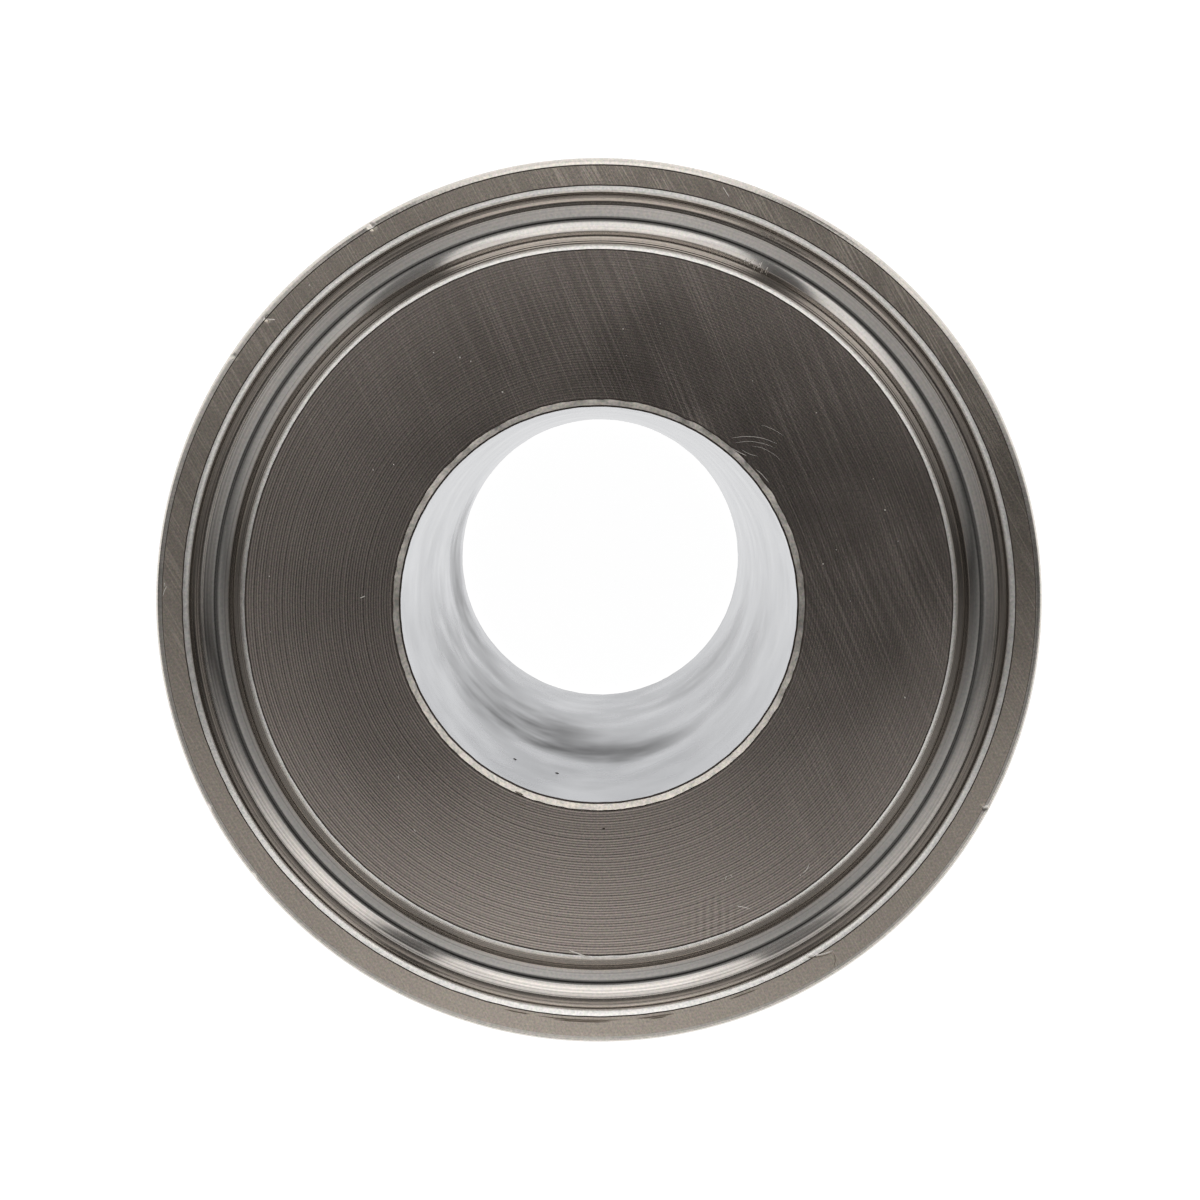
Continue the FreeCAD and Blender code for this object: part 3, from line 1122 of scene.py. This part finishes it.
@dataclass
class ScratchMarks:
    """Burrs thrown up beside scratches, or lines of painted shadow."""

    name: str
    scratches: tuple[Scratch, ...]
    smoothness: int = 6
    flatness: float = 0.45  # a burr's height against half its width
    wobble_mm: float = 0.02
    wobble_count: float = 4000.0  # in a metre
    tip_width: float = 0.2  # against the middle's
    sides: int = 6
    sunk: float = 0.15  # how far a burr's middle lies under the surface, against half its width
    seed: int = 5

    def build(self, finish: Material) -> Object:
        """Raises the burrs.

        Args:
            finish: their material.

        Returns:
            The finished piece.
        """
        runs = [scratch.places() for scratch in self.scratches]
        widths = [mark.width_mm / 2 * MM for mark in self.scratches for _ in mark.spots]
        level = [place.z for chain in runs for place in chain]
        values = {
            "Flatness": self.flatness,
            "Wobble": self.wobble_mm * MM,
            "Sunk": self.sunk,
            "Smoothness": self.smoothness,
            "Seed": float(self.seed),
            "Finish": finish,
        }
        start = line_mesh(runs, half_width=widths, level=level)
        return grow(self.name, start, values, self._shape)

    def _shape(self, add: AddNode, given: Outputs) -> Wire:
        """Adds the nodes that turn lines into low, tapering burrs.

        Args:
            add: adds a node to the tree.
            given: the tree's inputs.

        Returns:
            The finished surface.
        """
        curve = add("GeometryNodeMeshToCurve", [given["Geometry"]])
        curve = add("GeometryNodeCurveSplineType", {"Curve": curve}, spline_type="CATMULL_ROM")
        fine = {"Geometry": curve, "Resolution": given["Smoothness"]}
        curve = add("GeometryNodeSetSplineResolution", fine)
        curve = add("GeometryNodeResampleCurve", {"Curve": curve}, mode="EVALUATED")
        spot = add(PLACE)
        waves = {"Vector": spot, "W": given["Seed"], "Scale": self.wobble_count, "Detail": 1.0}
        noise = add(NOISE, waves, noise_dimensions="4D").outputs["Color"]
        centred = add(VECTOR, [noise, (0.5, 0.5, 0.5)], "SUBTRACT")
        level_only = add(VECTOR, [centred, (1, 1, 0)], "MULTIPLY")
        stray = add(VECTOR, {0: level_only, "Scale": given["Wobble"]}, "SCALE")
        curve = add(MOVE, {"Geometry": curve, "Offset": stray})
        half_turn = [add("GeometryNodeSplineParameter"), math.pi]
        swell = add(MATH, [add(MATH, half_turn, "MULTIPLY")], "SINE")
        # it widens from each tip, and is full where the sine passes 0.7
        taper = add(RANGE, [swell, 0.0, 0.7, self.tip_width, 1.0])
        half = add(KEPT_VALUE, {"Name": "half_width"})
        radius = add(MATH, [half, taper], "MULTIPLY")
        section = add("GeometryNodeCurvePrimitiveCircle", {"Resolution": self.sides})
        swept = {"Curve": curve, "Profile Curve": section, "Scale": radius, "Fill Caps": True}
        solid = add("GeometryNodeCurveToMesh", swept)
        parts = add(SPLIT, [spot]).outputs
        level = add(KEPT_VALUE, {"Name": "level"})
        above = add(MATH, [parts["Z"], level], "SUBTRACT")
        low = add(MATH, [above, given["Flatness"]], "MULTIPLY")
        depth = add(MATH, [half, given["Sunk"]], "MULTIPLY")
        rise = add(MATH, [low, level], "ADD")
        settled = add(MATH, [rise, depth], "SUBTRACT")
        place = add(JOIN, [parts["X"], parts["Y"], settled])
        laid = add(MOVE, {"Geometry": solid, "Position": place})
        return finished(add, laid, given["Finish"])


def finished(add: AddNode, surface: Wire, finish: Socket) -> Wire:
    """Smooths a surface, makes its instances real and gives it its finish.

    Args:
        add: adds a node to the tree.
        surface: the surface so far.
        finish: its material.

    Returns:
        The finished surface.
    """
    real = add("GeometryNodeRealizeInstances", [surface])
    smooth = add("GeometryNodeSetShadeSmooth", {"Geometry": real})
    return add(DRESS, {"Geometry": smooth, "Material": finish})


@dataclass(frozen=True)
class Speck:
    """A tiny lump stuck to a surface: its place and size in mm, and where the surface faces."""

    place: Spot
    size_mm: float
    outward: Spot = (0.0, 0.0, 1.0)


@dataclass
class Specks:
    """Specks of one kind, each a small flattened lump."""

    name: str
    specks: tuple[Speck, ...]
    flatness: float = 0.35
    stretch: float = 0.6  # how much longer than wide one may be
    seed: int = 9

    def build(self, finish: Material) -> Object:
        """Sets a lump at each spot.

        Args:
            finish: their material.

        Returns:
            The finished piece.
        """
        start = line_mesh(
            [[Vector(speck.place) * MM] for speck in self.specks],
            half_size=[speck.size_mm / 2 * MM for speck in self.specks],
            outward=[speck.outward for speck in self.specks],
        )
        sizes = {"Flatness": self.flatness, "Stretch": self.stretch, "Seed": self.seed}
        return grow(self.name, start, {**sizes, "Finish": finish}, self._shape)

    def _shape(self, add: AddNode, given: Outputs) -> Wire:
        """Adds the nodes that set a flattened lump on each spot.

        Args:
            add: adds a node to the tree.
            given: the tree's inputs.

        Returns:
            The finished surface.
        """
        lump = add("GeometryNodeMeshIcoSphere")
        outward = add(KEPT_VALUE, {"Name": "outward"}, data_type="FLOAT_VECTOR")
        size = add(KEPT_VALUE, {"Name": "half_size"})
        spin, draw = (
            add("FunctionNodeRandomValue", {2: 0.0, 3: most, "Seed": given["Seed"]})
            for most in (math.tau, 1.0)
        )
        start = add("FunctionNodeEulerToRotation", [add(JOIN, {2: spin})])
        facing = {"Rotation": start, "Vector": outward}
        turned = add("FunctionNodeAlignRotationToVector", facing, axis="Z")
        longer = add(MATH, [draw, given["Stretch"], 1.0], "MULTIPLY_ADD")
        shape = add(JOIN, [longer, 1.0, given["Flatness"]])
        scale = add(VECTOR, {0: shape, "Scale": size}, "SCALE")
        placed = add(
            "GeometryNodeInstanceOnPoints",
            {"Points": given["Geometry"], "Instance": lump, "Rotation": turned, "Scale": scale},
        )
        return finished(add, placed, given["Finish"])


def scattered(count: int, radii_mm: Span, sizes_mm: Span, up: int, seed: int) -> list[Speck]:
    """Strews specks over a ring of the upper or the lower face.

    Args:
        count: how many.
        radii_mm: the ring's inner and outer radius.
        sizes_mm: the smallest and largest speck.
        up: 1 for the upper face, -1 for the lower one.
        seed: fixes their places.

    Returns:
        The specks.
    """
    chance = random.Random(seed)
    level = TOP_MM if up > 0 else 0.0
    specks = []
    for _ in range(count):
        radius = math.sqrt(chance.uniform(radii_mm[0] ** 2, radii_mm[1] ** 2))
        angle = math.degrees(chance.uniform(0, math.tau))
        size = sizes_mm[0] + (sizes_mm[1] - sizes_mm[0]) * chance.random() ** 3
        specks.append(Speck(around(radius, angle, level), size, (0.0, 0.0, float(up))))
    return specks


def scrapes(count: int, angles: Span, radii: Span, seed: int) -> list[Scratch]:
    """Crowds short scrapes into one stretch of the groove's inner wall.

    Args:
        count: how many.
        angles: the stretch's ends.
        radii: the radii between which they lie, in mm.
        seed: fixes them.

    Returns:
        The scrapes.
    """
    chance, groove = random.Random(seed), Ferrule()
    # where the groove's straight wall starts, and how far a scrape stands out of it
    wall_start, proud = (20.441, 0.2494), 0.004
    stray, margin, lengths, widths = 0.3, 0.3, (0.2, 0.45), (0.05, 0.08)
    made = []
    for i in range(count):
        angle = angles[0] + (angles[1] - angles[0]) * (i + chance.uniform(-stray, stray)) / count
        start = chance.uniform(radii[0], radii[1] - margin)
        end = start + chance.uniform(*lengths)
        width = chance.uniform(*widths)
        spots = [
            around(radius, angle, TOP_MM - (groove.wall_depth_mm(radius, wall_start) - proud))
            for radius in (start, (start + end) / 2, end)
        ]
        made.append(Scratch(width, tuple(spots)))
    return made


def edge_shadow_line(start: float, end: float, width_mm: float, radius_mm: float) -> Scratch:
    """Draws a line of painted shadow along the outer lip.

    Args:
        start: the angle where it starts.
        end: the angle where it ends.
        width_mm: its width.
        radius_mm: the radius that it follows.

    Returns:
        The line.
    """
    step = 0.7  # degrees from spot to spot
    pieces = max(2, int(abs(end - start) / step)) - 1
    angles = [start + (end - start) * i / pieces for i in range(pieces + 1)]
    return Scratch(width_mm, tuple(around(radius_mm, angle)[:2] for angle in angles))


# each with its width and the spots that it runs through, in mm
SCRATCH_LINES = (
    (0.018, (7.35, 9.50), (8.30, 9.62), (9.25, 9.52), (10.20, 9.16)),
    (0.015, (7.60, 9.24), (8.45, 9.34), (9.30, 9.22), (10.10, 8.92)),
    (0.012, (8.50, 9.10), (9.20, 8.98), (9.90, 8.62), (10.35, 8.20)),
    (0.030, (7.50, 8.98), (7.95, 8.72), (8.40, 8.52)),
    (0.014, (8.02, 8.90), (8.55, 8.62), (9.05, 8.50)),
    (0.028, (8.84, 7.80), (9.25, 7.46), (9.66, 6.98)),
    (0.020, (8.36, 8.16), (8.62, 7.88), (8.86, 7.58)),
    (0.012, (9.10, 10.30), (9.80, 10.05), (10.50, 9.62)),
    (0.09, (11.90, -20.15), (12.35, -20.13), (12.95, -20.02), (13.51, -19.80)),
    (0.05, (-24.80, 0.52), (-24.70, 0.85), (-24.54, 1.15)),
    (0.05, (-24.66, 1.10), (-24.68, 1.32)),
    (0.09, (-1.77, -19.80), (-1.20, -20.02), (-0.55, -20.24)),
    (0.06, (11.68, -15.38), (11.88, -15.16), (12.00, -14.95), (12.05, -14.72)),
    (0.04, (11.52, -15.50), (11.60, -15.42)),
    (0.05, (7.28, -15.78), (7.27, -15.60), (7.36, -15.50)),
    (0.04, (7.52, -15.42), (7.66, -15.55)),
    (0.045, (7.87, -17.24), (8.30, -17.31), (8.73, -17.42)),
    (0.05, (-11.48, -9.70), (-11.42, -9.92)),
    (0.06, (-10.60, -12.80), (-10.48, -12.95)),
    (0.05, (7.34, 23.00), (7.14, 23.31), (6.92, 23.64)),
    (0.07, (-18.75, 16.20), (-18.45, 16.20), (-18.20, 16.17)),
    (0.06, (22.20, -11.60), (22.02, -11.50), (21.90, -11.53)),
    (0.05, (-13.60, 0.45), (-13.25, 0.58)),
)
# painted shadow lines beside a scratch on the land and at the bore mouth
SHADOW_LINE_SPOTS = (
    (0.05, (13.48, -19.93), (13.58, -20.35), (13.51, -20.80)),
    (0.06, (11.95, -20.26), (12.70, -20.18), (13.45, -19.95)),
    (0.10, (-4.60, -11.32), (-4.34, -11.40), (-4.12, -11.50)),
    (0.09, (-4.80, -10.62), (-4.52, -10.74), (-4.30, -10.84)),
)
SCRATCHES = (
    *scrapes(13, (63.2, 67.4), (20.95, 21.62), 4),
    *scrapes(5, (69.5, 74.0), (20.95, 21.40), 6),
    *(Scratch(width, tuple(spots)) for width, *spots in SCRATCH_LINES),
)
# painted shadow: a ragged dark line hugging the outer lip, and the lines above
SHADOW_LINES = (
    edge_shadow_line(256.8, 260.6, 0.09, 23.88),
    edge_shadow_line(261.2, 273.4, 0.09, 23.90),
    edge_shadow_line(263.6, 271.8, 0.10, 23.99),
    edge_shadow_line(275.2, 280.6, 0.11, 23.90),
    edge_shadow_line(277.0, 279.4, 0.09, 23.99),
    edge_shadow_line(288.2, 292.6, 0.09, 23.88),
    *(Scratch(width, tuple(spots)) for width, *spots in SHADOW_LINE_SPOTS),
)
BRIGHT_SPOTS = (
    (-9.33, 14.34), (-11.62, 8.04), (-5.44, 12.12), (-7.83, 14.06), (12.73, 2.40),
    (-18.71, 1.69), (-7.23, 13.85), (17.45, -5.22), (-12.78, 7.73), (1.37, 15.66),
    (16.22, 5.46), (-16.30, 18.11), (13.51, -20.91), (-22.13, -11.46), (-19.65, -15.39),
)
BRIGHT_SPECKS = (
    *(Speck((x, y, TOP_MM), 0.08) for x, y in BRIGHT_SPOTS),
    *scattered(16, (12.0, 20.0), (0.03, 0.06), 1, 21),
    *scattered(30, (12.0, 24.6), (0.03, 0.08), -1, 22),
)
DIRT_SPECKS = (
    Speck((-5.15, -10.04, 48.0), 0.21, (0.456, 0.89, 0.0)),
    Speck((-2.59, -10.98, 47.5), 0.24, (0.23, 0.973, 0.0)),
    Speck((0.28, -12.77, TOP_MM), 0.12),
    *scattered(14, (12.0, 24.6), (0.03, 0.07), 1, 31),
    *scattered(16, (12.0, 24.6), (0.03, 0.09), -1, 32),
)


# ---- studio ----


@dataclass(frozen=True)
class Softbox:
    """A soft panel lamp aimed at the spool, by its bearing, its tilt from upright and distance."""

    name: str
    bearing: float
    tilt: float
    distance: float
    width: float
    height: float
    brightness: float  # against white

    def build(self, target: Vector) -> Object:
        """Hangs the lamp.

        Args:
            target: what it is aimed at.

        Returns:
            The lamp.
        """
        lamp = bpy.data.lights.new(self.name, "AREA")
        lamp.shape = "RECTANGLE"
        lamp.size = self.width
        lamp.size_y = self.height
        lamp.energy = self.brightness * math.pi * self.width * self.height
        made = new_object(self.name, lamp)
        tilt = math.radians(self.tilt)
        away = Vector(around(math.sin(tilt), self.bearing, math.cos(tilt)))
        made.location = target + away * self.distance
        made.rotation_euler = (-away).to_track_quat("-Z", "Y").to_euler()
        made.visible_camera = False
        return made


@dataclass(frozen=True)
class Studio:
    """A pale table under a dark ceiling, with white walls low down and a soft panel above."""

    table_half: float = 6.0
    table_glow: float = 0.98
    table_shade: float = 0.22
    table_colour: str = "#E6E6E6"
    # the room's grey by the bearing, first close to straight up, then lower and lower
    overhead: GreyRing = (
        (0, 0.09), (30, 0.13), (60, 0.20), (90, 0.27), (130, 0.27), (165, 0.19), (200, 0.14),
        (240, 0.07), (265, 0.25), (285, 0.19), (300, 0.08), (330, 0.03), (360, 0.09),
    )
    walls: GreyRing = (
        (0, 0.06), (15, 0.30), (25, 0.58), (40, 1.15), (50, 1.02), (54, 0.15), (62, 0.12),
        (64, 1.02), (116, 1.02), (117.5, 0.20), (130, 0.22), (135, 0.64), (160, 0.46),
        (180, 0.15), (200, 0.27), (220, 0.43), (240, 0.45), (262, 0.66), (280, 0.54),
        (300, 0.36), (320, 0.48), (342, 0.22), (360, 0.06),
    )
    low: GreyRing = (
        (0, 0.12), (15, 0.30), (30, 0.85), (60, 1.05), (120, 1.0), (150, 0.85), (168, 0.24),
        (180, 0.05), (195, 0.45), (215, 0.85), (270, 0.88), (300, 1.0), (325, 1.10),
        (345, 0.65), (360, 0.12),
    )
    skyline: GreyRing = (
        (0, 0.12), (20, 0.80), (40, 1.0), (140, 1.0), (162, 0.60), (180, 0.12), (200, 0.25),
        (270, 0.30), (340, 0.25), (360, 0.12),
    )
    cap_grey: float = 0.02  # straight up, where the camera is
    cap_edge: Span = (2.5, 6.5)  # degrees off upright, as the edges below
    wall_edge: Span = (9.5, 13.5)
    low_edge: Span = (60.0, 66.0)
    skyline_edge: Span = (77.0, 83.0)
    panel: Softbox = Softbox("key_panel", 90.0, 35.0, 0.60, 0.20, 0.36, 0.28)

    def build(self, target: Vector) -> None:
        """Sets up the table, the surroundings and the lamp.

        Args:
            target: what the lamp is aimed at.
        """
        self._table()
        self._surroundings()
        self.panel.build(target)

    def _table(self) -> None:
        """Lays the table; its glow is for what is seen of it, and its shade keeps the shadow."""
        h, shade = self.table_half, self.table_shade
        mesh = bpy.data.meshes.new("table")
        mesh.from_pydata([(-h, -h, 0), (h, -h, 0), (h, h, 0), (-h, h, 0)], [], [(0, 1, 2, 3)])
        made = bpy.data.materials.new("pale_table")
        add = empty_tree(made)
        rays = add("ShaderNodeLightPath").outputs
        mirrored = add(MATH, [rays["Is Camera Ray"], rays["Is Glossy Ray"]], "ADD")
        seen = add(MATH, [mirrored, rays["Is Transmission Ray"]], "ADD", use_clamp=True)
        plain = add("ShaderNodeBsdfDiffuse", {"Color": linear(self.table_colour)})
        shaded = add("ShaderNodeBsdfDiffuse", {"Color": (shade, shade, shade, 1)})
        glow = add("ShaderNodeEmission", {"Strength": self.table_glow})
        bright = add("ShaderNodeAddShader", [shaded, glow])
        mixed = add("ShaderNodeMixShader", [seen, plain, bright])
        add("ShaderNodeOutputMaterial", {"Surface": mixed})
        mesh.materials.append(made)
        table = new_object("table", mesh)

    def _surroundings(self) -> None:
        """Paints the room round the object; the camera itself sees plain white."""
        world = bpy.data.worlds.new("studio")
        bpy.context.scene.world = world
        add = empty_tree(world)
        parts = add(SPLIT, [add("ShaderNodeTexCoord").outputs["Generated"]]).outputs
        turn = add(MATH, [parts["Y"], parts["X"]], "ARCTAN2")
        share = add(MATH, [turn, 1 / math.tau, 1.0], "MULTIPLY_ADD")
        bearing = add(MATH, [share], "FRACT")
        tilt = add(MATH, [parts["Z"]], "ARCCOSINE")
        level = self._ring(add, self.overhead, bearing)
        level = self._step(add, tilt, self.cap_edge, self.cap_grey, level)
        for edge, greys in (
            (self.wall_edge, self.walls),
            (self.low_edge, self.low),
            (self.skyline_edge, self.skyline),
        ):
            level = self._step(add, tilt, edge, level, self._ring(add, greys, bearing))
        white = (1, 1, 1, 1)
        room = add("ShaderNodeBackground", {"Color": white, "Strength": level})
        plain = add("ShaderNodeBackground", {"Color": white})
        seen = add("ShaderNodeLightPath").outputs["Is Camera Ray"]
        both = add("ShaderNodeMixShader", [seen, room, plain])
        add("ShaderNodeOutputWorld", {"Surface": both})

    def _ring(self, add: AddNode, greys: GreyRing, bearing: Wire) -> Wire:
        """Looks a grey up by the bearing.

        Args:
            add: adds a node to the world.
            greys: the greys round the room.
            bearing: the bearing, as a share of a full turn.

        Returns:
            The grey.
        """
        ramp = add("ShaderNodeValToRGB", [bearing])
        stops = ramp.color_ramp.elements
        while len(stops) < len(greys):
            stops.new(0.5)
        most = max(grey for _, grey in greys)
        for stop, (angle, grey) in zip(stops, greys):
            stop.position, stop.color = angle / 360, (*(grey / most,) * 3, 1.0)
        return add(MATH, [ramp, most], "MULTIPLY")

    def _step(self, add: AddNode, tilt: Wire, edge: Span, above: float | Wire, below: Wire) -> Wire:
        """Goes softly from one grey to another as the eye comes down the room.

        Args:
            add: adds a node to the world.
            tilt: how far off upright, in radians.
            edge: where the change starts and ends, in degrees off upright.
            above: the grey nearer to upright.
            below: the grey nearer to the skyline.

        Returns:
            The grey.
        """
        start, end = (math.radians(angle) for angle in edge)
        share = add(RANGE, [tilt, start, end], interpolation_type="SMOOTHSTEP")
        return add(MIX, {0: share, 2: above, 3: below})


@dataclass(frozen=True)
class Viewpoint:
    """The camera, above the upper ferrule and leaning a little over the axis."""

    place: Spot = (0.000252, 0.008962, 0.18422)
    aim: Spot = (0.000068, 0.000349, 0.0572)
    top: Spot = (0.0, 1.0, 0.0)  # what is at the top of the picture
    lens_mm: float = 67.2
    sensor_mm: float = 36.0
    nearest: float = 0.01

    def build(self) -> Object:
        """Sets up the camera.

        Returns:
            The camera.
        """
        camera = bpy.data.cameras.new("camera")
        camera.lens = self.lens_mm
        camera.sensor_width = self.sensor_mm
        camera.clip_start = self.nearest
        made = new_object("camera", camera)
        ahead = (Vector(self.aim) - Vector(self.place)).normalized()
        right = ahead.cross(Vector(self.top)).normalized()
        made.location = self.place
        made.rotation_euler = Matrix((right, right.cross(ahead), -ahead)).transposed().to_euler()
        bpy.context.scene.camera = made
        return made


# ---- putting it together ----


def report(piece: Object) -> None:
    """Logs a piece's triangles and materials."""
    triangles = sum(len(face.vertices) - 2 for face in piece.data.polygons)
    LOG.info("%s: %d triangles, %s", piece.name, triangles, [m.name for m in piece.data.materials])


def main() -> None:
    """Builds the spool, its studio and the camera."""
    logging.basicConfig(level=logging.INFO, format="%(message)s")
    bpy.context.scene.view_settings.view_transform = "Standard"
    Viewpoint().build()
    upper_end = Vector((0.0, 0.0, 0.057))
    Studio().build(upper_end)
    body = SpoolBody().build({kind: finish.material() for kind, finish in FINISHES.items()})
    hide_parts("sanitary_spool")
    burr = BURR.material()
    # lines of painted shadow along the outer lip and beside scratches
    shadow_marks = ScratchMarks("grease_smears", SHADOW_LINES, flatness=0.12, sunk=0.03, wobble_mm=0.05, seed=8)
    pieces = [
        body,
        ScratchMarks("scratch_burrs", SCRATCHES).build(burr),
        Specks("bright_specks", BRIGHT_SPECKS).build(burr),
        Specks("dirt_specks", DIRT_SPECKS).build(DIRT.material()),
        shadow_marks.build(SHADOW_FILM.material()),
    ]
    for piece in pieces:
        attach(piece, "root")
        report(piece)


if __name__ == "__main__":
    main()
